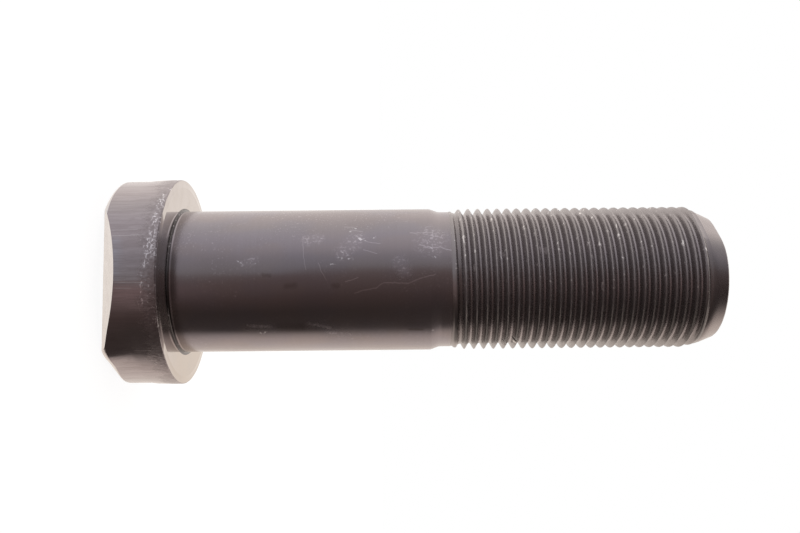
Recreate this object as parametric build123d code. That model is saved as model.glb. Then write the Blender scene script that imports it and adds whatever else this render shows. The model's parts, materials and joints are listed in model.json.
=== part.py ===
"""Wheel stud: a forged, turned and thread-rolled steel bolt that clamps a road wheel to its hub.

The stud is one piece. It stands on its head: Z is its axis, z = 0 is the flat end of the head, and
the thread points up. Units are millimetres. The thread is a real right-hand helix, with the pitch,
depth and diameter of the rolled one; its crests and roots are sharp, where the dies round them.
"""

import os
from math import ceil, cos, radians, sin

from build123d import *

# Thread M22 x 1.5: its section, and the height on the +X side of the crest where the winding begins.
pitch = 1.5
thread_radius = 10.88
root_radius = 9.96
first_crest = 47.085

# Tip: a cone that leads the nut on, smooth near its end because the dies stop short of it.
tip_length = 3.8
tip_radius = 9.2
overall_length = 89.1
groove_stop = 85.4
groove_stop_slope = 0.4

# Head: sheared from a hot-forged blank, so its side is smooth at first and then flares.
head_height = 8.6
head_radius = 15.52
head_rim_radius = 15.73
head_land_height = 3.8
end_chamfer = 0.5
rim_chamfer = 0.15

# Flat that cuts one side of the head's end, so that the head clears the hub's web.
flat_distance = 12.05
flat_height = 2.6
flat_turn = 5.0

# Plain shank, a close fit in the hub's flange, and the thinner neck where the dies begin.
shank_radius = 10.88
fillet_radius = 0.3
shank_top = 46.4
neck_radius = 10.4
neck_start = 47.7
neck_end = 49.9

# Run-out at the neck: the crests rise to full size while the roots sink towards the core.
full_crests = 50.5
core_radius = 9.8
core_start = 50.9


def blank_section():
    """Half outline in the XZ plane of the head, shank and neck, up to the core inside the thread."""
    fillet_edge = (shank_radius + fillet_radius, head_height)
    shank_start = (shank_radius, head_height + fillet_radius)
    with BuildLine(Plane.XZ) as outline:
        Polyline(
            (0, core_start),
            (0, 0),
            (head_radius - end_chamfer, 0),
            (head_radius, end_chamfer),
            (head_radius, head_land_height),
            (head_rim_radius, head_height - rim_chamfer),
            (head_rim_radius - rim_chamfer, head_height),
            fillet_edge,
        )
        RadiusArc(fillet_edge, shank_start, fillet_radius)
        Polyline(
            shank_start,
            (shank_radius, shank_top),
            (neck_radius, neck_start),
            (neck_radius, neck_end),
            (core_radius, core_start),
            (0, core_start),
        )
    return make_face(outline.line)


def point_on_line(start, end, radius):
    """Point at a radius on the straight line through two points of an outline."""
    share = (radius - start[0]) / (end[0] - start[0])
    return (radius, start[1] + share * (end[1] - start[1]))


def thread_zone():
    """Half outline of the space that the thread fills, between its run-out and its lead-in."""
    clear_radius = thread_radius + pitch / 4
    run_out = ((neck_radius, neck_end), (thread_radius, full_crests))
    lead_in = ((tip_radius, overall_length), (thread_radius, overall_length - tip_length))
    foot = point_on_line(*run_out, root_radius)
    with BuildLine(Plane.XZ) as outline:
        Polyline(
            (0, foot[1]),
            foot,
            point_on_line(*run_out, clear_radius),
            point_on_line(*lead_in, clear_radius),
            lead_in[0],
            (0, overall_length),
            close=True,
        )
    return make_face(outline.line)


def threaded_bar():
    """Bar of endless thread: each turn is two flanks, and a spiral floor and a step close each end."""
    start = first_crest - pitch / 2
    turns = ceil((overall_length - start) / pitch)
    one_turn = Location((0, 0, pitch))
    root = Helix(pitch, pitch, root_radius, center=(0, 0, start)).edge()
    crest = Helix(pitch, pitch, thread_radius, center=(0, 0, first_crest)).edge()
    flanks = (
        Face.make_surface_from_curves(root, crest),
        Face.make_surface_from_curves(crest, root.moved(one_turn)),
    )
    axis = Edge.make_line((0, 0, start), (0, 0, start + pitch))
    step = Polyline(axis @ 0, root @ 0, crest @ 0, root @ 1, axis @ 1, close=True)
    end = (Face.make_surface_from_curves(axis, root), make_face(step).face())
    places = [Location((0, 0, pitch * number)) for number in range(turns + 1)]
    walls = [flank.moved(place) for place in places[:-1] for flank in flanks]
    ends = [face.moved(place) for place in (places[0], places[-1]) for face in end]
    return Solid(Shell(walls + ends))


def stop_section():
    """Half outline of the widening cone on which the grooves run out before the tip."""
    top = overall_length + pitch
    top_radius = core_radius + groove_stop_slope * (top - groove_stop)
    with BuildLine(Plane.XZ) as outline:
        Polyline((0, groove_stop), (core_radius, groove_stop), (top_radius, top), (0, top), close=True)
    return make_face(outline.line)


def flat_plane():
    """Sloping plane of the flat; its normal points away from the metal that stays."""
    outward = Vector(-sin(radians(flat_turn)), -cos(radians(flat_turn)), 0)
    rise = head_radius - flat_distance
    normal = outward * flat_height - Vector(0, 0, rise)
    return Plane(origin=outward * flat_distance, z_dir=normal)


def wheel_stud():
    """The whole stud: the turned blank with the thread on its end and the flat cut on its head."""
    blank = revolve(blank_section(), Axis.Z)
    rolled = threaded_bar() + revolve(stop_section(), Axis.Z)
    thread = rolled & revolve(thread_zone(), Axis.Z)
    return split(blank + thread, bisect_by=flat_plane(), keep=Keep.BOTTOM)


os.makedirs("parts", exist_ok=True)
export_step(wheel_stud(), "parts/wheel_stud.step")
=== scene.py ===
"""Wheel stud, M22 x 1.5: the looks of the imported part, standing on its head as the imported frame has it."""

import json

from math import atan2, cos, degrees, exp, hypot, pi, radians, sin, sqrt

import bmesh
import bpy
from mathutils import Matrix, Vector, noise


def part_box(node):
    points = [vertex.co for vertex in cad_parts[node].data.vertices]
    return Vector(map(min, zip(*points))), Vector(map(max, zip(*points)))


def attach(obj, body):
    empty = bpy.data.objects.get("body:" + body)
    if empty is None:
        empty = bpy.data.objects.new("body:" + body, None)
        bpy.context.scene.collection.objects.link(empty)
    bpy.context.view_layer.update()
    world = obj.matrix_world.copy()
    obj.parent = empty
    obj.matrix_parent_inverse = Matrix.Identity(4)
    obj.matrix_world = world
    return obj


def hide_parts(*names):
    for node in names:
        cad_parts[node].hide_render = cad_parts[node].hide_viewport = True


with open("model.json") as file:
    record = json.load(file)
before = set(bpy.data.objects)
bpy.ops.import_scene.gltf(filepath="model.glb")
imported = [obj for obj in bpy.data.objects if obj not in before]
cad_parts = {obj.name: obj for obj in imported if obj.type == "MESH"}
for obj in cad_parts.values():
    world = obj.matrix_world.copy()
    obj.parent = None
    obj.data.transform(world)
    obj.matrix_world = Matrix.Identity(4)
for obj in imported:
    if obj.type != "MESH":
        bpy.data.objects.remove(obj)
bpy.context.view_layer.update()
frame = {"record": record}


# ---------------------------------------------------------------------------------------------
# The head: a hot-forged steel disc, sheared to its diameter, with a flat milled across one side
# of its end. Its side is smooth where the die slid and torn where the steel broke away.
# ---------------------------------------------------------------------------------------------
MM = 0.001
mounts = {mount["name"]: mount for mount in frame["record"]["mounts"]}
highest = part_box("wheel_stud")[1]
around = 144
head_height = mounts["bearing_face"]["pos_m"][2]
head_rim_radius = highest.x
head_radius = head_rim_radius - 0.21 * MM
head_land_height = 3.8 * MM
flare_height = head_land_height + 1.1 * MM
flare_radius = head_rim_radius - 0.08 * MM
edge_break = 0.05 * MM
end_ring_radii = (4 * MM, 9 * MM)

# The chamfer round the head's end: its size, and its shares more or less of that size.
end_chamfer = 0.5 * MM
more_all_round = 0.1
less_on_flat_side = 0.55
end_wear, end_wear_side, end_wear_spread = 0.75, -55, 30
low_corner_wear, low_corner_side, low_corner_spread = 1.2, -44, 20
high_corner_wear, high_corner_side, high_corner_spread = 0.5, 36, 12

# One corner of the flat is bent out by a blow, about one side of the stud.
knocked_side, knocked_spread = -37, 10
knocked_foot = 0.85 * MM
knocked_lip = 0.95 * MM

# The rim, torn where the steel broke away from the die.
rim_burr = 0.15 * MM
rim_raggedness = 0.07 * MM
torn_band = 1.2 * MM
coarse_tears, fine_tears = 5, 19

flat_distance = 11.9 * MM
flat_height = 2.7 * MM
flat_turn = radians(5.0)
HEAD, MILLED, END = range(3)


def ring(mesh, radius, height, shift=lambda turn: 0, rise=lambda turn: 0):
    """One closed ring of vertices about the axis, that may wander out and up as it goes round."""
    found = []
    for i in range(around):
        turn = 2 * pi * i / around
        here = radius + shift(turn)
        found.append(mesh.verts.new((here * cos(turn), here * sin(turn), height + rise(turn))))
    return found


def bridge(mesh, below, above, material):
    """Quads between two rings, with their faces outwards."""
    for i in range(around):
        j = (i + 1) % around
        face = mesh.faces.new((below[i], below[j], above[j], above[i]))
        face.material_index = material
        face.smooth = True


def fan(mesh, edge, height, material, up):
    """Triangles from a ring to a point on the axis."""
    middle = mesh.verts.new((0, 0, height))
    for i in range(around):
        j = (i + 1) % around
        corners = (edge[i], edge[j], middle) if up else (edge[j], edge[i], middle)
        face = mesh.faces.new(corners)
        face.material_index = material


def about(turn, side, spread):
    """1 at a side of the stud, given in degrees from its front, and fading away beside it."""
    away = (270 - degrees(turn) - side + 180) % 360 - 180
    return exp(-away * away / spread / spread)


def uneven(turn):
    """Share by which the chamfer is larger than end_chamfer all round, and smaller on the flat's side."""
    return more_all_round + less_on_flat_side * min(0, sin(turn))


def chamfer_foot(turn):
    """Shift of the chamfer's lower edge: inwards where it is worn, outwards where it is knocked."""
    worn = end_wear * about(turn, end_wear_side, end_wear_spread)
    return knocked_foot * about(turn, knocked_side, knocked_spread) - end_chamfer * (uneven(turn) + worn)


def chamfer_rise(turn):
    """Rise of the chamfer's upper edge: both corners beside the flat are worn back further up."""
    low_corner = low_corner_wear * about(turn, low_corner_side, low_corner_spread)
    high_corner = high_corner_wear * about(turn, high_corner_side, high_corner_spread)
    return end_chamfer * (uneven(turn) + low_corner + high_corner)


def chamfer_lip(turn):
    """Shift of the chamfer's upper edge: outwards where the corner is knocked."""
    return knocked_lip * about(turn, knocked_side, knocked_spread)


def raggedness(level):
    """How far the torn rim falls short of its full radius at a turn about the axis, at a level of it."""

    def shortfall(turn):
        coarse = noise.noise(Vector((cos(turn) * coarse_tears, sin(turn) * coarse_tears, level)))
        fine = noise.noise(Vector((cos(turn) * fine_tears, sin(turn) * fine_tears, level + 7)))
        return -rim_raggedness * min(1, max(0, 0.15 + 0.5 * coarse + 0.6 * fine))

    return shortfall


# Each line is a ring of the head: the surface up to the next ring, its radius, height and wandering.
blank = bmesh.new()
foot_radius = head_radius - end_chamfer
rim_foot = head_height - rim_burr
head_rings = [(END, radius, 0) for radius in end_ring_radii]
head_rings += [
    (MILLED, foot_radius - 2 * edge_break, 0, chamfer_foot),
    (MILLED, foot_radius + edge_break, edge_break / 2, chamfer_foot),
    (MILLED, head_radius - edge_break / 2, end_chamfer - edge_break, chamfer_lip, chamfer_rise),
    (HEAD, head_radius, end_chamfer + 2 * edge_break, chamfer_lip, chamfer_rise),
    (HEAD, head_radius, head_land_height),
    (HEAD, flare_radius, flare_height),
    (HEAD, head_rim_radius, rim_foot - torn_band, raggedness(1)),
    (HEAD, head_rim_radius, rim_foot - 0.1 * MM, raggedness(2)),
    (HEAD, head_rim_radius - 0.03 * MM, rim_foot, raggedness(3)),
]
rings = [ring(blank, *sizes) for surface, *sizes in head_rings]
fan(blank, rings[0], 0, END, up=False)
for below, above, (surface, *sizes) in zip(rings, rings[1:], head_rings):
    bridge(blank, below, above, surface)


def put(tree, kind, inputs=None, **settings):
    """A new node: its settings, then its inputs fed by sockets or plain values. Returns its outputs."""
    node = tree.nodes.new(kind)
    for name, value in settings.items():
        setattr(node, name, value)
    for place, value in (inputs or {}).items():
        if isinstance(value, bpy.types.NodeSocket):
            tree.links.new(value, node.inputs[place])
        else:
            node.inputs[place].default_value = value
    return node.outputs


def calc(tree, operation, *values, clamp=False):
    """A Math node fed by sockets or numbers; returns its output."""
    return put(tree, "ShaderNodeMath", dict(enumerate(values)), operation=operation, use_clamp=clamp)[0]


def where_all(tree, first, *others):
    """Where every mask is on: their product."""
    for other in others:
        first = calc(tree, "MULTIPLY", first, other)
    return first


def vector_calc(tree, operation, *values):
    """A Vector Math node fed by sockets or vectors; returns its vector and its value."""
    node = put(tree, "ShaderNodeVectorMath", dict(enumerate(values)), operation=operation)
    return node[0], node[1]


def shader_group(name, inputs, outputs):
    """An empty shader node group with named sockets; returns it, its inputs, and its output node."""
    tree = bpy.data.node_groups.new(name, "ShaderNodeTree")
    for label, value in inputs.items():
        kind = "NodeSocketFloat" if isinstance(value, (int, float)) else "NodeSocketVector"
        made = tree.interface.new_socket(label, in_out="INPUT", socket_type=kind)
        made.default_value = value
    for label in outputs:
        kind = "NodeSocketVector" if label == "Unrolled" else "NodeSocketFloat"
        tree.interface.new_socket(label, in_out="OUTPUT", socket_type=kind)
    given = tree.nodes.new("NodeGroupInput").outputs
    result = tree.nodes.new("NodeGroupOutput")
    return tree, given, result


def unrolled_group():
    """Where a point is on the stud: turn from the front in degrees, height and radius in millimetres."""
    labels = ["Unrolled", "Turn", "Height", "Radius"]
    tree, given, result = shader_group("unrolled surface", {"Object": (0, 0, 0)}, labels)
    in_mm = vector_calc(tree, "MULTIPLY", given["Object"], (1 / MM, 1 / MM, 1 / MM))[0]
    x, y, z = put(tree, "ShaderNodeSeparateXYZ", {0: in_mm})
    turn = calc(tree, "ARCTAN2", calc(tree, "MULTIPLY", x, -1.0), calc(tree, "MULTIPLY", y, -1.0))
    turn = calc(tree, "DEGREES", turn)
    squares = calc(tree, "ADD", calc(tree, "MULTIPLY", x, x), calc(tree, "MULTIPLY", y, y))
    radius = calc(tree, "SQRT", squares)
    whole = put(tree, "ShaderNodeCombineXYZ", {0: turn, 1: z, 2: radius})[0]
    for label, value in zip(labels, (whole, turn, z, radius)):
        tree.links.new(value, result.inputs[label])
    return tree


def grain_group():
    """Mottling, streaks or rings, by how its scale is stretched; 0 below Low and 1 above High."""
    given = {"Object": (0, 0, 0), "Stretch": (1, 1, 1), "Detail": 2.0, "Low": 0.4, "High": 0.6}
    tree, given, result = shader_group("grain", given, ["Mask"])
    place = vector_calc(tree, "MULTIPLY", given["Object"], given["Stretch"])[0]
    place = vector_calc(tree, "MULTIPLY", place, (1 / MM, 1 / MM, 1 / MM))[0]
    cloud = put(tree, "ShaderNodeTexNoise", {"Vector": place, "Scale": 1.0, "Detail": given["Detail"]})[0]
    levels = {"Value": cloud, "From Min": given["Low"], "From Max": given["High"]}
    mask = put(tree, "ShaderNodeMapRange", levels, interpolation_type="SMOOTHSTEP")[0]
    tree.links.new(mask, result.inputs["Mask"])
    return tree


def stroke_group():
    """One straight stroke on the unrolled surface, between two (turn, height) points, soft at its edge."""
    ends = {"Unrolled": (0, 0, 0), "From": (0, 0, 0), "To": (0, 1, 0)}
    sizes = {"Degree": 0.19, "Width": 0.1, "Waver": 0.1}
    tree, given, result = shader_group("stroke", ends | sizes, ["Mask"])
    flat = put(tree, "ShaderNodeCombineXYZ", {0: given["Degree"], 1: 1.0, 2: 0.0})[0]
    here = vector_calc(tree, "MULTIPLY", given["Unrolled"], flat)[0]
    wobble = put(tree, "ShaderNodeTexNoise", {"Vector": here, "Scale": 1.6, "Detail": 3.0})["Color"]
    wobble = vector_calc(tree, "SUBTRACT", wobble, (0.5, 0.5, 0.5))[0]
    wobble = put(tree, "ShaderNodeVectorMath", {0: wobble, "Scale": given["Waver"]}, operation="SCALE")[0]
    here = vector_calc(tree, "MULTIPLY", vector_calc(tree, "ADD", here, wobble)[0], (1, 1, 0))[0]
    start = vector_calc(tree, "MULTIPLY", given["From"], flat)[0]
    finish = vector_calc(tree, "MULTIPLY", given["To"], flat)[0]
    run = vector_calc(tree, "SUBTRACT", finish, start)[0]
    offset = vector_calc(tree, "SUBTRACT", here, start)[0]
    share = calc(
        tree,
        "DIVIDE",
        vector_calc(tree, "DOT_PRODUCT", offset, run)[1],
        calc(tree, "ADD", vector_calc(tree, "DOT_PRODUCT", run, run)[1], 1e-6),
        clamp=True,
    )
    nearest = put(tree, "ShaderNodeVectorMath", {0: run, "Scale": share}, operation="SCALE")[0]
    distance = vector_calc(tree, "DISTANCE", offset, nearest)[1]
    edge = {"Value": distance, "From Min": given["Width"], "From Max": 0.0}
    mask = put(tree, "ShaderNodeMapRange", edge, interpolation_type="SMOOTHSTEP")[0]
    tree.links.new(mask, result.inputs["Mask"])
    return tree


unrolled_surface = unrolled_group()
grain = grain_group()
stroke = stroke_group()


def new_metal(name):
    """A metal finish to be worked up: material, node tree, shader inputs, position, place on the stud."""
    material = bpy.data.materials.new(name)
    material.use_nodes = True
    tree = material.node_tree
    shader = tree.nodes["Principled BSDF"]
    shader.inputs["Metallic"].default_value = 1.0
    position = put(tree, "ShaderNodeTexCoord")["Object"]
    spot = put(tree, "ShaderNodeGroup", {"Object": position}, node_tree=unrolled_surface)
    return material, tree, shader.inputs, position, spot


def grain_mask(tree, position, stretch, low, high, detail=2.0):
    """Grain placed in a material."""
    given = {"Object": position, "Stretch": stretch, "Low": low, "High": high, "Detail": detail}
    return put(tree, "ShaderNodeGroup", given, node_tree=grain)[0]


def band(tree, value, start, end):
    """0 where a value is at start, 1 where it is at end, smooth between."""
    given = {"Value": value, "From Min": start, "From Max": end}
    return put(tree, "ShaderNodeMapRange", given, interpolation_type="SMOOTHSTEP")[0]


def tint(tree, mask, colour, other, strength=1.0):
    """One colour turning to another by a mask; either may be a socket."""
    if strength != 1.0:
        mask = calc(tree, "MULTIPLY", mask, strength)
    node = tree.nodes.new("ShaderNodeMix")
    node.data_type = "RGBA"
    sockets = [place for place in node.inputs if place.type == "RGBA"]
    tree.links.new(mask, node.inputs[0])
    for place, value in zip(sockets, (colour, other)):
        if isinstance(value, bpy.types.NodeSocket):
            tree.links.new(value, place)
        else:
            place.default_value = (*value, 1)
    return [place for place in node.outputs if place.type == "RGBA"][0]


def coats(tree, colour, *layers):
    """Colours laid over a first one, in turn: each has its mask, its colour and its strength."""
    for mask, other, strength in layers:
        colour = tint(tree, mask, colour, other, strength)
    return colour


def strokes(tree, spot, lines, degree):
    """Strokes on the unrolled surface: each line is a width and the (turn, height) points it joins."""
    drawn = None
    for width, points in lines:
        for start, finish in zip(points, points[1:]):
            given = {
                "Unrolled": spot["Unrolled"],
                "From": (*start, 0),
                "To": (*finish, 0),
                "Degree": degree,
                "Width": width,
                "Waver": min(0.5, 1.5 * width + 0.1),
            }
            mask = put(tree, "ShaderNodeGroup", given, node_tree=stroke)[0]
            drawn = mask if drawn is None else calc(tree, "MAXIMUM", drawn, mask)
    return drawn


def emboss(tree, shader, height, depth):
    """Relief from a height between 0 and 1, in metres deep."""
    given = {"Height": height, "Distance": depth, "Strength": 1.0}
    tree.links.new(put(tree, "ShaderNodeBump", given)[0], shader["Normal"])


# Marks on the head's side: width in millimetres, then points in degrees of turn and millimetres up.
side_degree = radians(1) * head_radius / MM
shear_lines = [
    (0.10, [(25.5, 0.7), (25.6, 6.6)]),
    (0.07, [(28.8, 1.6), (28.8, 5.6)]),
    (0.09, [(1.2, 0.6), (0.9, 6.8)]),
    (0.07, [(-1.9, 0.8), (-2.0, 5.2)]),
    (0.09, [(-35.2, 4.2), (-35.2, 8.2)]),
    (0.07, [(-36.9, 4.4), (-36.9, 8.0)]),
    (0.08, [(-8.5, 5.9), (-13.5, 6.3)]),
]
rubbed_patch = [(1.6, [(5.0, 2.6), (21.0, 2.6)])]
rim_nicks = [
    (0.30, [(52.0, 8.1), (44.0, 8.2), (38.0, 7.7)]),
    (0.75, [(37.0, 7.6), (30.0, 7.7), (20.0, 7.7), (15.0, 8.0)]),
    (0.35, [(24.0, 7.2), (14.0, 7.2), (9.0, 6.9)]),
    (0.22, [(6.0, 6.6), (-2.0, 6.5), (-10.0, 6.6)]),
    (0.34, [(-17.2, 8.3), (-21.5, 8.4)]),
]

side_steel = (0.45, 0.41, 0.42)
rubbed_side = (0.50, 0.51, 0.56)
streaked_side = (0.36, 0.32, 0.325)
fine_streaked_side = (0.30, 0.265, 0.27)
torn_steel = (0.33, 0.295, 0.30)
# Colour of the painted shadow along the rim's top edge.
rim_painted_shadow = (0.13, 0.11, 0.115)
bright_steel = (0.72, 0.70, 0.70)
fleck_steel = (0.92, 0.90, 0.92)

# Each pair is where an effect starts and where it is full. In these and all later pairs, heights,
# radii and widths are in millimetres, and turns are in degrees from the front. The sides are named
# as the stud lies in view: its upper side is the one towards -X, where turns are above zero.
torn_heights = (6.6, 8.2)
tear_waver = 1.6
flecked_turns = (-30.0, 0.0)
# Heights and turns of the painted shadow along the rim's top edge, on the upper side of the head.
rim_shadow_heights = (8.25, 8.42)
rim_shadow_lower_turns = (-12.0, 4.0)
rim_shadow_upper_turns = (55.0, 25.0)

head_side, tree, shader, position, spot = new_metal("sheared_head_side")
streaks = grain_mask(tree, position, (1.6, 1.6, 0.07), 0.35, 0.66)
fine_streaks = grain_mask(tree, position, (6.0, 6.0, 0.25), 0.42, 0.62)
ragged = grain_mask(tree, position, (0.5, 0.5, 0.25), 0.3, 0.7)
torn = band(tree, calc(tree, "MULTIPLY_ADD", ragged, tear_waver, spot["Height"]), *torn_heights)
torn_grain = grain_mask(tree, position, (2.6, 2.6, 2.0), 0.38, 0.62, 4.0)
flecks = grain_mask(tree, position, (3.4, 3.4, 3.0), 0.58, 0.68, 3.0)
patches = grain_mask(tree, position, (0.22, 0.22, 0.4), 0.44, 0.6)
upper_side = calc(tree, "MULTIPLY_ADD", band(tree, spot["Turn"], *flecked_turns), 0.6, 0.4)
flecks = where_all(tree, flecks, torn, patches, upper_side)
lines = strokes(tree, spot, shear_lines, side_degree)
nick_grain = grain_mask(tree, position, (2.6, 2.6, 3.6), 0.52, 0.58, 3.0)
nicks = where_all(tree, strokes(tree, spot, rim_nicks, side_degree), nick_grain)
rub = strokes(tree, spot, rubbed_patch, side_degree)
# Painted shadow: the rim's top edge is darkened on the upper side of the head.
rim_shadow_mask = where_all(
    tree,
    band(tree, spot["Height"], *rim_shadow_heights),
    band(tree, spot["Turn"], *rim_shadow_lower_turns),
    band(tree, spot["Turn"], *rim_shadow_upper_turns),
)
colour = coats(
    tree,
    side_steel,
    (rub, rubbed_side, 0.7),
    (streaks, streaked_side, 0.5),
    (fine_streaks, fine_streaked_side, 0.25),
    (where_all(tree, torn, torn_grain), torn_steel, 0.8),
    (rim_shadow_mask, rim_painted_shadow, 0.75),
    (lines, bright_steel, 0.45),
    (calc(tree, "MAXIMUM", flecks, nicks), fleck_steel, 0.9),
)
tree.links.new(colour, shader["Base Color"])
rough = calc(tree, "MULTIPLY_ADD", torn, 0.14, 0.17)
rough = calc(tree, "MULTIPLY_ADD", fine_streaks, 0.05, rough)
tree.links.new(rough, shader["Roughness"])
relief = where_all(tree, torn_grain, torn)
relief = calc(tree, "MULTIPLY_ADD", fine_streaks, 0.10, relief)
relief = calc(tree, "MULTIPLY_ADD", lines, -0.3, relief)
emboss(tree, shader, relief, 0.012 * MM)

milled_steel = (0.71, 0.69, 0.685)
stained_flat = (0.64, 0.61, 0.60)
milling_marks = (0.64, 0.615, 0.60)

milled, tree, shader, position, spot = new_metal("milled_flat")
marks = grain_mask(tree, position, (0.6, 7.0, 7.0), 0.4, 0.62)
stain = grain_mask(tree, position, (0.5, 0.5, 0.5), 0.35, 0.7, 3.0)
colour = coats(
    tree,
    milled_steel,
    (stain, stained_flat, 0.6),
    (marks, milling_marks, 0.35),
)
tree.links.new(colour, shader["Base Color"])
tree.links.new(calc(tree, "MULTIPLY_ADD", marks, 0.08, 0.22), shader["Roughness"])
emboss(tree, shader, marks, 0.004 * MM)

forged_steel = (0.30, 0.28, 0.27)
light_scale = (0.42, 0.39, 0.38)
ringed_steel = (0.48, 0.45, 0.44)
pitted_steel = (0.16, 0.145, 0.14)

head_end, tree, shader, position, spot = new_metal("forged_head_end")
scale = grain_mask(tree, position, (0.45, 0.45, 0.45), 0.38, 0.62, 4.0)
pits = grain_mask(tree, position, (2.4, 2.4, 2.4), 0.56, 0.7, 3.0)
turned_rings = grain_mask(tree, spot["Unrolled"], (0.0, 0.0, 0.0022), 0.42, 0.6)
colour = coats(
    tree,
    forged_steel,
    (scale, light_scale, 0.8),
    (turned_rings, ringed_steel, 0.25),
    (pits, pitted_steel, 0.6),
)
tree.links.new(colour, shader["Base Color"])
tree.links.new(calc(tree, "MULTIPLY_ADD", scale, -0.08, 0.36), shader["Roughness"])
relief = calc(tree, "MULTIPLY_ADD", pits, -0.8, calc(tree, "MULTIPLY", turned_rings, 0.2))
emboss(tree, shader, relief, 0.03 * MM)


# ---------------------------------------------------------------------------------------------
# The bearing face: the ring under the head that clamps the hub, faced in the lathe with fine
# concentric marks and left bright. Its edge is worn round. On its front beside the shank it is
# rougher, and painted shade darkens it there, deeper on its upper side, with painted light on
# its lower side.
# ---------------------------------------------------------------------------------------------
shank_radius = mounts["shank"]["dims"]["r_mm"] * MM
shank_half = mounts["shank"]["dims"]["length_mm"] * MM / 2
shank_base = mounts["shank"]["pos_m"][2] - shank_half
fillet_radius = shank_base - head_height
fillet_foot = shank_radius + fillet_radius
worn_edge_radius = 14.65 * MM
worn_edge_drop = 0.07 * MM
worn_edge_step = 0.12 * MM
faced_steel = (0.585, 0.55, 0.535)
oily_steel = (0.54, 0.475, 0.42)
lathe_marked = (0.50, 0.465, 0.445)
handled_steel = (0.49, 0.45, 0.42)
# Colours of the painted shade on the face's front beside the shank, deeper on its upper side, and of the
# painted light on its lower side.
painted_shade_face = (0.38, 0.35, 0.345)
deep_painted_shade_face = (0.24, 0.22, 0.215)
painted_light_face = (0.75, 0.70, 0.67)
oiled_turns = (-20.0, -75.0)
dull_shaded_half_widths = (7.6, 5.6)
dull_shaded_turns = (110.0, 80.0)
deep_shade_across = (-0.5, -5.0)
painted_light_across = (1.5, 5.0)
FACED = 3

face_rings = [
    ring(blank, head_rim_radius - worn_edge_step, head_height - worn_edge_drop, raggedness(3)),
    ring(blank, worn_edge_radius + worn_edge_step, head_height - 0.045 * MM),
    ring(blank, worn_edge_radius, head_height),
    ring(blank, worn_edge_radius - 0.1 * MM, head_height),
    ring(blank, fillet_foot + 0.15 * MM, head_height),
]
bridge(blank, rings[-1], face_rings[0], HEAD)
for below, above in zip(face_rings, face_rings[1:]):
    bridge(blank, below, above, FACED)

bearing, tree, shader, position, spot = new_metal("faced_bearing")
lathe_marks = grain_mask(tree, spot["Unrolled"], (0.0, 0.0, 0.009), 0.35, 0.65)
handling = grain_mask(tree, position, (0.35, 0.35, 0.35), 0.4, 0.7, 4.0)
oiled_side = band(tree, spot["Turn"], *oiled_turns)
in_mm = vector_calc(tree, "MULTIPLY", position, (1 / MM, 1 / MM, 1 / MM))[0]
across = put(tree, "ShaderNodeSeparateXYZ", {0: in_mm})[0]
# On the face's front beside the shank it is rougher and darkened by painted shade, deeper towards its upper
# side, with painted light towards its lower side.
dull_and_shaded = where_all(
    tree,
    band(tree, calc(tree, "ABSOLUTE", across), *dull_shaded_half_widths),
    band(tree, calc(tree, "ABSOLUTE", spot["Turn"]), *dull_shaded_turns),
)
painted_shade_colour = tint(tree, band(tree, across, *deep_shade_across), painted_shade_face, deep_painted_shade_face)
painted_shade_colour = tint(tree, band(tree, across, *painted_light_across), painted_shade_colour, painted_light_face)
colour = coats(
    tree,
    faced_steel,
    (oiled_side, oily_steel, 1.0),
    (lathe_marks, lathe_marked, 0.3),
    (handling, handled_steel, 0.4),
    (dull_and_shaded, painted_shade_colour, 0.85),
)
tree.links.new(colour, shader["Base Color"])
rough = calc(tree, "MULTIPLY_ADD", handling, 0.04, 0.05)
tree.links.new(calc(tree, "MULTIPLY_ADD", dull_and_shaded, 0.22, rough), shader["Roughness"])
emboss(tree, shader, lathe_marks, 0.0006 * MM)


# ---------------------------------------------------------------------------------------------
# The plain shank, its fillet and the neck: turned, then dipped with the rest in a thin dark
# phosphate coat. Handling has rubbed the upper side near the thread and scratched it.
# ---------------------------------------------------------------------------------------------
shank_top = mounts["shank"]["pos_m"][2] + shank_half
neck_radius = 10.4 * MM
neck_start = shank_top + 1.3 * MM
thread_radius = mounts["thread"]["dims"]["r_mm"] * MM
thread_half = mounts["thread"]["dims"]["length_mm"] * MM / 2
thread_base = mounts["thread"]["pos_m"][2] - thread_half
join_height = thread_base - 1.25 * MM
SHANK = 4


def arc_points(centre, radius, start_degrees, end_degrees, steps):
    """Points of an arc in the (radius, height) half plane."""
    turns = [radians(start_degrees + (end_degrees - start_degrees) * i / steps) for i in range(steps + 1)]
    return [(centre[0] + radius * cos(t), centre[1] + radius * sin(t)) for t in turns]


shank_outline = arc_points((fillet_foot, shank_base), fillet_radius, -90, -180, 8)
shank_outline += [(shank_radius, shank_base + 0.2 * MM)]
shank_outline += [(shank_radius, shank_top - 0.25 * MM), (shank_radius - 0.02 * MM, shank_top)]
shank_outline += [(neck_radius + 0.03 * MM, neck_start - 0.1 * MM), (neck_radius, neck_start + 0.25 * MM)]
shank_outline += [(neck_radius, join_height)]
shank_rings = [face_rings[-1]] + [ring(blank, radius, height) for radius, height in shank_outline]
for below, above in zip(shank_rings, shank_rings[1:]):
    bridge(blank, below, above, SHANK)

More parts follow.
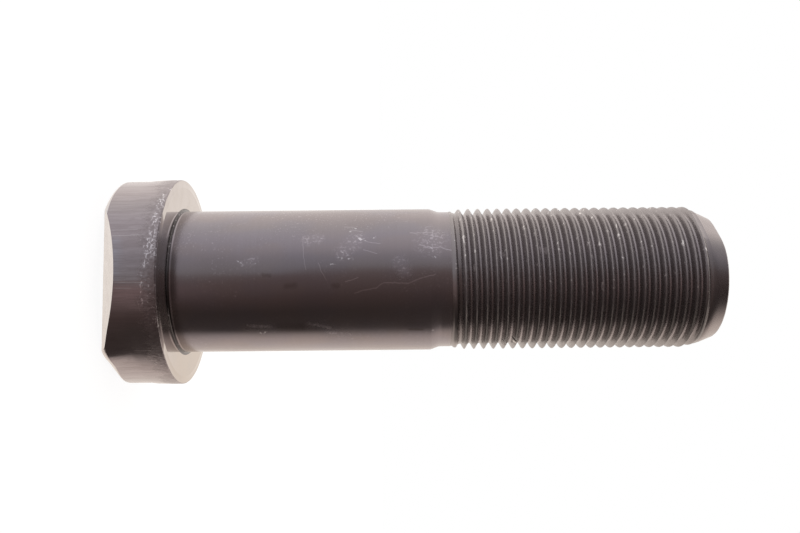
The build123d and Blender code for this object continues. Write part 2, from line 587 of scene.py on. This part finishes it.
# Marks on the shank, given in the same way as those on the head's side.
shank_degree = radians(1) * shank_radius / MM
long_scratch = [(-9.0, 35.3), (-7.0, 36.4), (-5.2, 38.3), (-1.2, 39.5), (-1.6, 41.4), (-2.1, 42.9)]
long_scratch += [(1.6, 44.6), (4.5, 46.8)]
scratches = [
    (0.13, long_scratch),
    (0.11, [(-0.2, 34.0), (1.2, 35.0), (2.7, 35.8)]),
    (0.14, [(28.2, 44.7), (26.2, 45.5), (25.0, 46.2), (27.4, 47.6), (25.2, 48.4), (24.0, 49.6)]),
    (0.13, [(27.4, 46.5), (22.2, 46.5)]),
    (0.12, [(40.6, 46.6), (34.6, 46.6)]),
    (0.09, [(39.2, 43.3), (39.4, 46.5)]),
    (0.07, [(46.4, 33.7), (46.2, 35.3)]),
    (0.07, [(42.8, 34.6), (41.4, 36.4)]),
    (0.06, [(14.0, 30.2), (8.0, 30.6), (0.5, 31.4)]),
    (0.05, [(37.0, 27.8), (20.0, 28.0), (9.0, 28.4)]),
    (0.08, [(36.0, 35.6), (31.0, 37.2), (29.5, 39.0)]),
    (0.08, [(24.5, 36.6), (21.0, 38.5)]),
]
bright_marks = [
    (0.26, [(41.3, 34.6), (41.0, 34.7)]),
    (0.20, [(44.6, 33.8), (44.4, 35.4)]),
    (0.42, [(33.8, 36.0), (33.0, 36.7)]),
    (0.30, [(35.1, 37.8), (35.4, 38.1)]),
    (0.34, [(25.7, 46.0), (24.0, 46.6)]),
    (0.22, [(18.1, 46.6), (18.0, 46.8)]),
    (0.30, [(-42.8, 21.4), (-42.6, 22.1)]),
    (0.16, [(-42.4, 46.4), (-42.4, 46.6)]),
    (0.26, [(15.4, 20.7), (14.8, 21.7)]),
    (0.20, [(12.8, 31.9), (12.6, 32.7)]),
    (0.20, [(17.0, 18.6), (14.0, 19.2)]),
    (0.24, [(22.5, 33.4), (20.5, 34.4)]),
    (0.24, [(18.0, 33.0), (17.0, 35.0)]),
]
rubbed_areas = [
    (3.2, [(30.0, 46.0), (36.0, 46.5)]),
    (1.8, [(34.0, 35.8), (22.0, 33.6)]),
    (1.6, [(14.0, 41.8), (8.0, 42.4)]),
    (1.3, [(33.0, 28.5), (35.0, 30.0)]),
    (1.0, [(14.0, 19.6), (17.0, 21.0)]),
    (0.5, [(-35.5, 19.8), (-36.5, 22.8)]),
    (0.5, [(-34.0, 28.6), (-38.0, 31.5)]),
    (0.6, [(-44.0, 31.2), (-47.0, 34.2)]),
]
dark_stains = [
    (0.7, [(-3.2, 25.6), (-2.4, 26.8)]),
    (0.45, [(5.4, 22.4), (5.0, 23.2)]),
    (0.6, [(-3.0, 32.4), (-3.4, 32.9)]),
    (1.3, [(-37.0, 24.4), (-37.0, 27.4)]),
]
# A long dent, drawn only as a dark line of painted shade.
long_dent_shade = [(0.35, [(-41.1, 43.1), (-41.1, 45.0)])]
coated_steel = (0.36, 0.325, 0.335)
thick_coat = (0.33, 0.295, 0.30)
oil_film = (0.335, 0.315, 0.35)
turned_marks = (0.31, 0.28, 0.285)
# Colours of the painted shade and the painted shadow in the corner by the head.
corner_painted_shade = (0.25, 0.22, 0.215)
corner_shadow = (0.06, 0.055, 0.055)
worn_coat = (0.41, 0.375, 0.40)
# Bright steel of rubbed and scratched marks and of dust, also used for the painted highlight ring.
rubbed_steel_and_highlight = (0.60, 0.56, 0.59)
# Dark colour of the stains, also used for the painted shade of the long dent.
stained_and_shaded_steel = (0.22, 0.19, 0.185)
struck_steel = (0.85, 0.83, 0.85)
# Heights of the painted shade and the painted shadow in the corner by the head.
corner_shade_heights = (10.3, 9.2)
shadow_heights = (8.95, 8.88)
# Height and half widths of the painted highlight ring just above the fillet.
highlight_ring_height = 9.05
highlight_ring_half_widths = (0.15, 0.05)
roughened_heights = (27.0, 35.0)

shank_coat, tree, shader, position, spot = new_metal("phosphated_shank")
cloudy = grain_mask(tree, position, (0.16, 0.16, 0.10), 0.36, 0.64, 3.0)
turned = grain_mask(tree, position, (0.05, 0.05, 4.5), 0.38, 0.64)
hairlines = grain_mask(tree, position, (3.4, 3.4, 2.2), 0.53, 0.61, 4.0)
dust = grain_mask(tree, position, (3.3, 3.3, 3.3), 0.61, 0.70, 2.0)
rubbed = strokes(tree, spot, rubbed_areas, shank_degree)
stains = strokes(tree, spot, dark_stains, shank_degree)
scratched = strokes(tree, spot, scratches, shank_degree)
struck = where_all(tree, strokes(tree, spot, bright_marks, shank_degree), hairlines)
dent_shade = strokes(tree, spot, long_dent_shade, shank_degree)
webbed = where_all(tree, hairlines, rubbed)
stray = where_all(tree, dust, cloudy)
film = grain_mask(tree, position, (0.22, 0.22, 0.14), 0.42, 0.62, 2.0)
# Painted shade darkens the shank towards the fillet, and a painted shadow lies deep in the corner.
in_corner = band(tree, spot["Height"], *corner_shade_heights)
deep_in_corner = band(tree, spot["Height"], *shadow_heights)
# Painted highlight: a thin bright ring round the shank just above the fillet.
from_highlight_ring = calc(tree, "ABSOLUTE", calc(tree, "SUBTRACT", spot["Height"], highlight_ring_height))
painted_highlight_ring = band(tree, from_highlight_ring, *highlight_ring_half_widths)
colour = coats(
    tree,
    coated_steel,
    (cloudy, thick_coat, 0.6),
    (film, oil_film, 0.5),
    (turned, turned_marks, 0.12),
    (in_corner, corner_painted_shade, 0.45),
    (deep_in_corner, corner_shadow, 0.9),
    (painted_highlight_ring, rubbed_steel_and_highlight, 0.9),
    (rubbed, worn_coat, 0.5),
    (webbed, rubbed_steel_and_highlight, 0.75),
    (stray, rubbed_steel_and_highlight, 0.45),
    (stains, stained_and_shaded_steel, 0.55),
    (dent_shade, stained_and_shaded_steel, 0.8),
    (scratched, rubbed_steel_and_highlight, 0.75),
    (struck, struck_steel, 0.95),
)
tree.links.new(colour, shader["Base Color"])
rough = calc(tree, "MULTIPLY_ADD", cloudy, 0.05, 0.17)
rough = calc(tree, "MULTIPLY_ADD", rubbed, 0.10, rough)
rough = calc(tree, "MULTIPLY_ADD", band(tree, spot["Height"], *roughened_heights), 0.05, rough)
tree.links.new(rough, shader["Roughness"])
emboss(tree, shader, calc(tree, "MULTIPLY_ADD", hairlines, 0.5, turned), 0.0006 * MM)


# ---------------------------------------------------------------------------------------------
# The rolled thread: M22 x 1.5, right-hand, from its run-out at the neck to the lead-in at the tip.
# Dies press the roots in and push the crests up, so both fade out together at each end. The nut
# has worn the coat off the crests, most of all on the first few turns.
# ---------------------------------------------------------------------------------------------
pitch = 1.5 * MM
crest_height = 0.48 * MM
root_depth = 0.44 * MM
crest_share = 0.44
fresh_rounding = 0.3 * MM
worn_rounding = 0.45 * MM
crest_at_front = 51.21 * MM
full_thread = thread_base + 0.75 * MM
tip_height = highest.z
tip_radius = 9.24 * MM
tip_slope = 0.457
tip_offset = 0.466 * MM
tip_tilt = 0.12
tip_low_side = radians(-76)
tip_worn_depth = 0.72 * MM
tip_worn_side = radians(-141)
tip_worn_focus = 12.6
tip_rounding = 0.15 * MM
fade_start = 85.2 * MM
fade_end = 86.65 * MM
fade_shift = 0.2 * MM
weld = 0.002 * MM
THREAD = 5


def thread_tree():
    """Node tree that rolls up a thread: a long strip, one pitch wide, wound and welded into a tube."""
    tree = bpy.data.node_groups.new("rolled thread", "GeometryNodeTree")
    tree.interface.new_socket("Geometry", in_out="INPUT", socket_type="NodeSocketGeometry")
    for name in thread_sizes:
        kind = "NodeSocketInt" if isinstance(thread_sizes[name], int) else "NodeSocketFloat"
        tree.interface.new_socket(name, in_out="INPUT", socket_type=kind)
    tree.interface.new_socket("Material", in_out="INPUT", socket_type="NodeSocketMaterial")
    tree.interface.new_socket("Geometry", in_out="OUTPUT", socket_type="NodeSocketGeometry")
    given = tree.nodes.new("NodeGroupInput").outputs

    def add(first, second):
        return calc(tree, "ADD", first, second)

    def subtract(first, second):
        return calc(tree, "SUBTRACT", first, second)

    def multiply(first, second):
        return calc(tree, "MULTIPLY", first, second)

    def divide(first, second, clamp=False):
        return calc(tree, "DIVIDE", first, second, clamp=clamp)

    def choose(test, otherwise, chosen):
        given = {"Switch": test, "False": otherwise, "True": chosen}
        return put(tree, "GeometryNodeSwitch", given, input_type="FLOAT")[0]

    # A flat grid: one row across for each step of the thread's section, one column for each step round.
    columns = add(multiply(given["Turns"], given["Steps around"]), 1)
    rows = add(given["Steps across"], 1)
    strip = put(tree, "GeometryNodeMeshGrid", {"Vertices X": columns, "Vertices Y": rows})["Mesh"]
    index = put(tree, "GeometryNodeInputIndex")[0]
    column = calc(tree, "FLOOR", divide(add(index, 0.5), rows))
    across = divide(subtract(index, multiply(column, rows)), given["Steps across"])
    along = divide(column, given["Steps around"])
    step = calc(tree, "FLOORED_MODULO", column, given["Steps around"])
    turn = multiply(divide(step, given["Steps around"]), 2 * pi)
    wound = add(multiply(add(along, across), given["Pitch"]), given["Strip start"])
    height = calc(tree, "MINIMUM", calc(tree, "MAXIMUM", wound, given["Start"]), given["End"])

    # The bar under the thread: a neck, and a slightly tilted lead-in cone.
    lean = calc(tree, "COSINE", subtract(turn, given["Low side"]))
    to_tip = subtract(given["Tip height"], height)
    leaning = multiply(lean, subtract(given["Tip offset"], multiply(to_tip, given["Tip tilt"])))
    beside_worn = subtract(calc(tree, "COSINE", subtract(turn, given["Worn side"])), 1)
    worn = multiply(calc(tree, "EXPONENT", multiply(beside_worn, given["Worn focus"])), given["Worn depth"])
    cone = subtract(add(add(given["Tip radius"], multiply(to_tip, given["Tip slope"])), leaning), worn)
    bar = calc(tree, "SMOOTH_MIN", cone, given["Neck radius"], given["Rounding"])

    # The nut starts at the tip, so the turns there are the most rounded.
    full_length = subtract(given["Tip height"], given["Full"])
    towards_tip = divide(subtract(height, given["Full"]), full_length, clamp=True)
    more = multiply(multiply(towards_tip, towards_tip), subtract(given["Worn rounding"], given["Rounding"]))
    rounding = add(given["Rounding"], more)

    # How fully the thread is formed: nothing at the neck, all of it between, nothing on the tip.
    risen = divide(subtract(height, given["Start"]), subtract(given["Full"], given["Start"]), clamp=True)
    late = multiply(calc(tree, "COSINE", turn), given["Fade shift"])
    fade_from = subtract(given["Fade start"], late)
    fade_to = subtract(given["Fade end"], late)
    left = divide(subtract(fade_to, height), subtract(fade_to, fade_from), clamp=True)
    formed = calc(tree, "MINIMUM", risen, left)
    crest = add(bar, multiply(formed, given["Crest height"]))
    root = subtract(bar, multiply(formed, given["Root depth"]))

    # Sixty-degree flanks between a rounded crest and a rounded root.
    wave = calc(tree, "ABSOLUTE", subtract(multiply(across, 2), 1))
    steepness = multiply(given["Pitch"], sqrt(3) / 2)
    flank = add(bar, multiply(subtract(given["Crest share"], wave), steepness))
    topped = calc(tree, "SMOOTH_MIN", flank, crest, rounding)
    rolled = calc(tree, "SMOOTH_MAX", topped, root, rounding)
    flat_bar = subtract(1, band(tree, formed, 0.0, 0.08))
    rolled = add(multiply(rolled, subtract(1, flat_bar)), multiply(bar, flat_bar))

    below = calc(tree, "LESS_THAN", wound, add(given["Start"], 1e-6))
    radius = choose(below, rolled, given["Neck radius"])
    x = multiply(radius, calc(tree, "COSINE", turn))
    y = multiply(radius, calc(tree, "SINE", turn))
    place = put(tree, "ShaderNodeCombineXYZ", {0: x, 1: y, 2: height})[0]
    tube = put(tree, "GeometryNodeSetPosition", {"Geometry": strip, "Position": place})[0]
    tube = put(tree, "GeometryNodeMergeByDistance", {"Geometry": tube, "Distance": weld})[0]
    tube = put(tree, "GeometryNodeSetShadeSmooth", {"Geometry": tube})[0]
    tube = put(tree, "GeometryNodeRealizeInstances", {"Geometry": tube})[0]
    tube = put(tree, "GeometryNodeSetMaterial", {"Geometry": tube, "Material": given["Material"]})[0]
    put(tree, "NodeGroupOutput", {0: tube})
    return tree


# A strip runs from root to root, so it starts half a pitch under a crest, and below the neck's join.
root_at_zero_turn = crest_at_front - 0.75 * pitch - 0.5 * pitch
turns_below = int((root_at_zero_turn - join_height) / pitch) + 2
strip_start = root_at_zero_turn - pitch * turns_below
thread_end = tip_height - tip_rounding
thread_sizes = {
    "Pitch": pitch,
    "Crest height": crest_height,
    "Root depth": root_depth,
    "Crest share": crest_share,
    "Rounding": fresh_rounding,
    "Worn rounding": worn_rounding,
    "Neck radius": neck_radius,
    "Start": join_height,
    "Full": full_thread,
    "Tip height": tip_height,
    "Tip radius": tip_radius,
    "Tip slope": tip_slope,
    "Tip offset": tip_offset,
    "Tip tilt": tip_tilt,
    "Low side": tip_low_side,
    "Worn depth": tip_worn_depth,
    "Worn side": tip_worn_side,
    "Worn focus": tip_worn_focus,
    "Fade start": fade_start,
    "Fade end": fade_end,
    "Fade shift": fade_shift,
    "Strip start": strip_start,
    "End": thread_end,
    "Turns": int((thread_end - strip_start) / pitch) + 1,
    "Steps around": around,
    "Steps across": 16,
}

flank_steel = (0.31, 0.285, 0.285)
clouded_flank = (0.28, 0.255, 0.255)
grimy_flank = (0.24, 0.22, 0.215)
# Colour of the painted light in the roots.
root_painted_light = (0.45, 0.415, 0.42)
land_steel = (0.225, 0.205, 0.21)
# Painted light on the upper and lower sides of the lead-in's land.
land_painted_light = (0.41, 0.37, 0.37)
crest_steel = (0.66, 0.63, 0.625)
# Colour of the painted shade on the crests on part of the lower side.
crest_painted_shade = (0.06, 0.055, 0.055)
glint_steel = (0.95, 0.92, 0.90)
nicked_steel = (0.85, 0.82, 0.81)
# Colour of the painted shade in the holes.
hole_painted_shade = (0.03, 0.027, 0.026)
crest_radius = thread_radius / MM
root_radius = (neck_radius - root_depth) / MM
crest_radii = (crest_radius - 0.58, crest_radius - 0.30)
root_radii = (root_radius + 0.14, root_radius + 0.04)
past_neck_heights = (50.2, 50.9)
first_turns_heights = (66.0, 52.0)
tip_heights = (86.2, 87.0)
# Turns where painted light lightens the lead-in's land, below and above.
lit_lower_turns = (-24.0, -50.0)
lit_upper_turns = (20.0, 52.0)
# Turns towards the upper side, where the crests are lit.
lit_side_turns = (-28.0, 8.0)
# Turns between which painted shade darkens the crests.
crest_shade_upper_turns = (-12.0, -38.0)
crest_shade_lower_turns = (-68.0, -57.0)

# Marks on the thread, given in the same way as those on the head's side.
thread_degree = radians(1) * thread_radius / MM
thread_marks = [
    (0.22, [(-65.0, 58.5), (-61.8, 59.05)]),
    (0.16, [(24.0, 56.2), (18.0, 56.3)]),
    (0.14, [(36.0, 50.9), (30.0, 51.1)]),
    (0.15, [(12.0, 52.4), (7.0, 52.4)]),
    (0.15, [(28.0, 62.0), (22.0, 62.1)]),
]
# Holes in the turns, drawn only as painted shade: black, rough and not metal.
painted_hole_shades = [
    (0.32, [(-58.8, 58.55), (-60.2, 58.75)]),
    (0.24, [(-63.0, 57.1), (-64.0, 57.25)]),
]

rolled_thread, tree, shader, position, spot = new_metal("rolled_thread")
cloudy = grain_mask(tree, position, (0.18, 0.18, 0.18), 0.36, 0.64, 3.0)
glints = grain_mask(tree, position, (1.1, 1.1, 1.1), 0.62, 0.70, 3.0)
grime = grain_mask(tree, position, (2.2, 2.2, 2.2), 0.45, 0.65, 3.0)
first_turns = band(tree, spot["Height"], *first_turns_heights)
# Painted light: the crests are lighter on the upper side, and the glints show only there.
upper_side = band(tree, spot["Turn"], *lit_side_turns)
# Painted shade: the crests are darkened on part of the lower side.
crest_shade_side = where_all(
    tree,
    band(tree, spot["Turn"], *crest_shade_upper_turns),
    band(tree, spot["Turn"], *crest_shade_lower_turns),
)
# Painted light: the lead-in's land is lighter towards its upper and lower sides, and dark at the front.
lit_below = band(tree, spot["Turn"], *lit_lower_turns)
lit_above = band(tree, spot["Turn"], *lit_upper_turns)
lit_land = tint(tree, calc(tree, "MAXIMUM", lit_below, lit_above), land_steel, land_painted_light)
on_tip = band(tree, spot["Height"], *tip_heights)
past_neck = band(tree, spot["Height"], *past_neck_heights)
# Painted light: the roots are lightened.
in_root = band(tree, spot["Radius"], *root_radii)
crest = band(tree, spot["Radius"], *crest_radii)
# The crests are lighter where the nut wore the coat off, most on the first turns; their extra lightness on the
# upper side is painted light.
worn = calc(tree, "MULTIPLY", crest, 0.26)
worn = calc(tree, "MULTIPLY", worn, calc(tree, "MULTIPLY_ADD", first_turns, 0.6, 0.5), clamp=True)
worn = calc(tree, "MULTIPLY", worn, calc(tree, "MULTIPLY_ADD", upper_side, 0.4, 0.6))
glints = where_all(tree, glints, crest, upper_side)
nicked = strokes(tree, spot, thread_marks, thread_degree)
# Painted shade where the holes are.
hole_shade = strokes(tree, spot, painted_hole_shades, thread_degree)
colour = coats(
    tree,
    flank_steel,
    (cloudy, clouded_flank, 0.5),
    (grime, grimy_flank, 0.1),
    (in_root, root_painted_light, 0.7),
    (on_tip, lit_land, 1.0),
    (worn, crest_steel, 1.0),
    (where_all(tree, crest_shade_side, crest), crest_painted_shade, 0.75),
    (glints, glint_steel, 0.8),
    (nicked, nicked_steel, 0.9),
    (hole_shade, hole_painted_shade, 0.95),
)
tree.links.new(colour, shader["Base Color"])
rough = calc(tree, "MULTIPLY_ADD", grime, 0.03, 0.27)
rough = calc(tree, "MULTIPLY_ADD", crest, 0.05, rough)
tree.links.new(calc(tree, "MULTIPLY_ADD", hole_shade, 0.55, rough), shader["Roughness"])
metal = calc(tree, "MULTIPLY_ADD", past_neck, -0.14, 1.0)
tree.links.new(calc(tree, "MULTIPLY", metal, calc(tree, "SUBTRACT", 1.0, hole_shade)), shader["Metallic"])

thread_object = bpy.data.objects.new("thread_strip", bpy.data.meshes.new("thread_strip"))
bpy.context.scene.collection.objects.link(thread_object)
rolling = thread_object.modifiers.new("rolled thread", "NODES")
rolling.node_group = thread_tree()
for item in rolling.node_group.interface.items_tree:
    if item.in_out == "INPUT" and item.name in thread_sizes:
        rolling[item.identifier] = thread_sizes[item.name]
    if item.in_out == "INPUT" and item.name == "Material":
        rolling[item.identifier] = rolled_thread
thread_object.update_tag()
bpy.context.view_layer.update()
evaluated = thread_object.evaluated_get(bpy.context.evaluated_depsgraph_get())
thread_mesh = bpy.data.meshes.new_from_object(evaluated)
bpy.data.objects.remove(thread_object)


# ---------------------------------------------------------------------------------------------
# The tip's end: the steel bar was cropped here before rolling, so its face is torn and a little
# hollow inside a raised rim, and it leans with the worn lead-in.
# ---------------------------------------------------------------------------------------------
hollow = 0.2 * MM
TIP = 6


def tip_edge(in_from_cone, below_end):
    """A ring round the tip's end, that follows the tilted cone at some distance inside it."""
    radius = tip_radius + tip_slope * below_end - in_from_cone

    def lean(turn):
        worn = tip_worn_depth * exp((cos(turn - tip_worn_side) - 1) * tip_worn_focus)
        return cos(turn - tip_low_side) * (tip_offset - tip_tilt * below_end) - worn

    return ring(blank, radius, tip_height - below_end, lean)


tip_rings = [
    tip_edge(0, tip_rounding),
    tip_edge(0.03 * MM, 0.07 * MM),
    tip_edge(0.09 * MM, 0.015 * MM),
    tip_edge(0.20 * MM, 0),
    tip_edge(0.55 * MM, 0),
    ring(blank, tip_radius - 1.8 * MM, tip_height - 0.6 * hollow),
    ring(blank, 4 * MM, tip_height - hollow),
]
for below, above in zip(tip_rings, tip_rings[1:]):
    bridge(blank, below, above, TIP)
fan(blank, tip_rings[-1], tip_height - hollow, TIP, up=True)

cropped_steel = (0.42, 0.385, 0.38)
torn_tip = (0.34, 0.31, 0.305)
pitted_tip = (0.2, 0.18, 0.175)

cropped, tree, shader, position, spot = new_metal("cropped_tip")
tears = grain_mask(tree, position, (0.35, 1.8, 1.0), 0.38, 0.62, 4.0)
pits = grain_mask(tree, position, (2.4, 2.4, 2.4), 0.56, 0.7, 3.0)
colour = coats(
    tree,
    cropped_steel,
    (tears, torn_tip, 0.8),
    (pits, pitted_tip, 0.5),
)
tree.links.new(colour, shader["Base Color"])
tree.links.new(calc(tree, "MULTIPLY_ADD", tears, 0.1, 0.26), shader["Roughness"])
emboss(tree, shader, calc(tree, "MULTIPLY_ADD", pits, -0.5, tears), 0.03 * MM)


# ---------------------------------------------------------------------------------------------
# The whole stud, one forged and rolled piece: the thread is welded to the neck and the tip, the
# flat is milled across the head's end, and two knocks are pressed into the turns of the thread.
# ---------------------------------------------------------------------------------------------
knock_floor = 10.2 * MM
sharp_edge = radians(32)
milling_slack = 0.001 * MM

# Each knock has its turn about the stud, its height and its reach.
knocks = [(radians(-60), 58.3 * MM, 0.9 * MM), (radians(-64), 56.9 * MM, 0.7 * MM)]

first_thread_face = len(blank.faces)
blank.from_mesh(thread_mesh)
blank.faces.ensure_lookup_table()
for face in blank.faces[first_thread_face:]:
    face.material_index = THREAD
bmesh.ops.remove_doubles(blank, verts=blank.verts[:], dist=weld)

outward = Vector((-sin(flat_turn), -cos(flat_turn), 0))
rise = head_radius - flat_distance
cut = bmesh.ops.bisect_plane(
    blank,
    geom=blank.verts[:] + blank.edges[:] + blank.faces[:],
    plane_co=outward * flat_distance,
    plane_no=(outward * flat_height - Vector((0, 0, rise))).normalized(),
    dist=milling_slack,
    clear_outer=True,
)
edges = [part for part in cut["geom_cut"] if isinstance(part, bmesh.types.BMEdge)]
for face in bmesh.ops.contextual_create(blank, geom=edges)["faces"]:
    face.material_index = MILLED

for corner in blank.verts:
    radius = hypot(corner.co.x, corner.co.y)
    turn = atan2(-corner.co.x, -corner.co.y)
    for knock_turn, knock_height, knock_reach in knocks:
        sideways = (turn - knock_turn) * thread_radius
        away = hypot(sideways, corner.co.z - knock_height) / knock_reach
        if away < 1 and radius > knock_floor:
            pressed = knock_floor + (radius - knock_floor) * away * away
            corner.co.x *= pressed / radius
            corner.co.y *= pressed / radius

stud_mesh = bpy.data.meshes.new("wheel_stud_steel")
blank.to_mesh(stud_mesh)
blank.free()
stud_mesh.set_sharp_from_angle(angle=sharp_edge)
stud = bpy.data.objects.new("stud", stud_mesh)
bpy.context.scene.collection.objects.link(stud)
for metal in (head_side, milled, head_end, bearing, shank_coat, rolled_thread, cropped):
    stud_mesh.materials.append(metal)
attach(stud, "root")
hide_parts("wheel_stud")


# ---------------------------------------------------------------------------------------------
# Studio: a pale floor, a soft white surround with a dark side behind the camera, and the camera,
# which is turned on its side, because the stud stands on its head and is looked at lying down.
# ---------------------------------------------------------------------------------------------
view_distance = 124.2 * MM
view_height = 41.8 * MM
view_side = -2.03 * MM
view_roll = radians(0.58)
lens_length = 35.91

camera = bpy.data.objects.new("camera", bpy.data.cameras.new("camera"))
camera.data.lens = lens_length
camera.data.clip_start = 0.01
right = Vector((0, 0, 1))
up = Vector((-1, 0, 0))
turned_right = cos(view_roll) * right - sin(view_roll) * up
turned_up = sin(view_roll) * right + cos(view_roll) * up
back = turned_right.cross(turned_up)
turned = Matrix((turned_right, turned_up, back)).transposed().to_4x4()
camera.matrix_world = Matrix.Translation((view_side, -view_distance, view_height)) @ turned
bpy.context.scene.collection.objects.link(camera)
bpy.context.scene.camera = camera

# Colour of the surround by its turn about the stud, in degrees from the camera's side.
surround = [
    (-180, 1.04, 0.96, 0.89),
    (-150, 1.02, 0.92, 0.83),
    (-128, 0.98, 0.87, 0.78),
    (-108, 0.80, 0.69, 0.62),
    (-96, 0.55, 0.48, 0.44),
    (-86, 0.08, 0.065, 0.06),
    (-50, 0.065, 0.05, 0.045),
    (-30, 0.11, 0.078, 0.072),
    (-13, 0.16, 0.12, 0.113),
    (0, 0.19, 0.145, 0.14),
    (9.5, 0.23, 0.185, 0.18),
    (12.5, 0.345, 0.33, 0.34),
    (37, 0.45, 0.435, 0.47),
    (54, 0.62, 0.59, 0.62),
    (74, 0.75, 0.72, 0.75),
    (96, 0.89, 0.86, 0.85),
    (125, 1.12, 1.05, 1.0),
    (160, 1.12, 1.05, 1.0),
    (180, 1.04, 0.96, 0.89),
]
warm_wall = (0.31, 0.225, 0.22)
overhead = (0.45, 0.425, 0.42)
brightest = 1.15

# How far the surround is turned at the levels that the head, the shank and the lead-in mirror. A
# level is the upward part of a direction: 0 is level with the stud, 1 is straight up.
turned_for_head = radians(10)
turned_for_shank = radians(-9)
turned_for_lead_in = radians(-18)
turned_at_poles = radians(25)

# Pairs of levels and turns, as in the metals above, but with the turns in radians.
head_levels = (-0.27, -0.3)
shank_levels = (-0.12, -0.05)
camera_side = (radians(60), radians(20))
lead_in_lower_levels = (0.45, 0.7)
lead_in_upper_levels = (0.94, 0.9)
pole_levels = (0.88, 0.93)
overhead_levels = (0.975, 0.995)
dark_side_start = (radians(-25), radians(-50))
dark_side_end = (radians(-170), radians(-130))
warm_start = (radians(9), radians(5))
warm_end = (radians(-25), radians(2))


def shade_of(colour):
    """A colour of the surround as a share of its brightest."""
    return tuple(part / brightest for part in colour)


world = bpy.data.worlds.new("studio")
bpy.context.scene.world = world
world.use_nodes = True
tree = world.node_tree
tree.nodes.clear()
direction = put(tree, "ShaderNodeTexCoord")["Generated"]
x, y, level = put(tree, "ShaderNodeSeparateXYZ", {0: direction})
steepness = calc(tree, "ABSOLUTE", level)
turn = calc(tree, "ARCTAN2", calc(tree, "MULTIPLY", x, -1.0), calc(tree, "MULTIPLY", y, -1.0))

beside_head = band(tree, level, *head_levels)
above_shank = band(tree, level, *shank_levels)
on_camera_side = band(tree, calc(tree, "ABSOLUTE", turn), *camera_side)
above_thread = band(tree, level, *lead_in_lower_levels)
over_lead_in = where_all(tree, above_thread, band(tree, level, *lead_in_upper_levels))
near_pole = band(tree, steepness, *pole_levels)
dark_side = where_all(tree, band(tree, turn, *dark_side_start), band(tree, turn, *dark_side_end))
moved = calc(tree, "MULTIPLY", above_shank, turned_for_shank)
moved = calc(tree, "MULTIPLY_ADD", beside_head, turned_for_head, moved)
moved_at_ends = calc(tree, "MULTIPLY", near_pole, turned_at_poles)
moved_at_ends = calc(tree, "MULTIPLY_ADD", over_lead_in, turned_for_lead_in, moved_at_ends)
turn = calc(tree, "MULTIPLY_ADD", moved, on_camera_side, turn)
turn = calc(tree, "MULTIPLY_ADD", moved_at_ends, dark_side, turn)

ramp = tree.nodes.new("ShaderNodeValToRGB")
stops = ramp.color_ramp.elements
stops.remove(stops[0])
for number, (side, *colour) in enumerate(surround):
    place = side / 360 + 0.5
    stop = stops[0] if number == 0 else stops.new(place)
    stop.position = place
    stop.color = (*shade_of(colour), 1)
tree.links.new(calc(tree, "MULTIPLY_ADD", turn, 0.5 / pi, 0.5), ramp.inputs[0])
warm = where_all(tree, band(tree, turn, *warm_start), band(tree, turn, *warm_end), beside_head)
shade = tint(tree, warm, ramp.outputs[0], shade_of(warm_wall))
shade = tint(tree, band(tree, steepness, *overhead_levels), shade, shade_of(overhead))
soft = put(tree, "ShaderNodeBackground", {"Color": shade, "Strength": brightest})[0]
white = put(tree, "ShaderNodeBackground", {"Color": (1, 1, 1, 1)})[0]
seen = put(tree, "ShaderNodeLightPath")["Is Camera Ray"]
either = put(tree, "ShaderNodeMixShader", {0: seen, 1: soft, 2: white})[0]
put(tree, "ShaderNodeOutputWorld", {0: either})

# The camera sees the floor as pale paper that glows and keeps the stud's shadow; every other ray passes
# straight through it.
floor_half = 1.5
floor_grey = (0.25, 0.25, 0.25, 1)
floor_glow = 0.9
corners = [
    (-floor_half, -floor_half, 0),
    (floor_half, -floor_half, 0),
    (floor_half, floor_half, 0),
    (-floor_half, floor_half, 0),
]
floor_mesh = bpy.data.meshes.new("floor")
floor_mesh.from_pydata(corners, [], [(0, 1, 2, 3)])
floor = bpy.data.objects.new("floor", floor_mesh)
bpy.context.scene.collection.objects.link(floor)
floor_paper = bpy.data.materials.new("floor_paper")
floor_paper.use_nodes = True
tree = floor_paper.node_tree
tree.nodes.clear()
paper = put(tree, "ShaderNodeBsdfDiffuse", {"Color": floor_grey})[0]
glow = put(tree, "ShaderNodeEmission", {"Strength": floor_glow})[0]
lit = put(tree, "ShaderNodeAddShader", {0: paper, 1: glow})[0]
clear = put(tree, "ShaderNodeBsdfTransparent")[0]
seen = put(tree, "ShaderNodeLightPath")["Is Camera Ray"]
either = put(tree, "ShaderNodeMixShader", {0: seen, 1: clear, 2: lit})[0]
put(tree, "ShaderNodeOutputMaterial", {0: either})
floor_mesh.materials.append(floor_paper)

bpy.context.scene.view_settings.view_transform = "Standard"
bpy.context.view_layer.update()
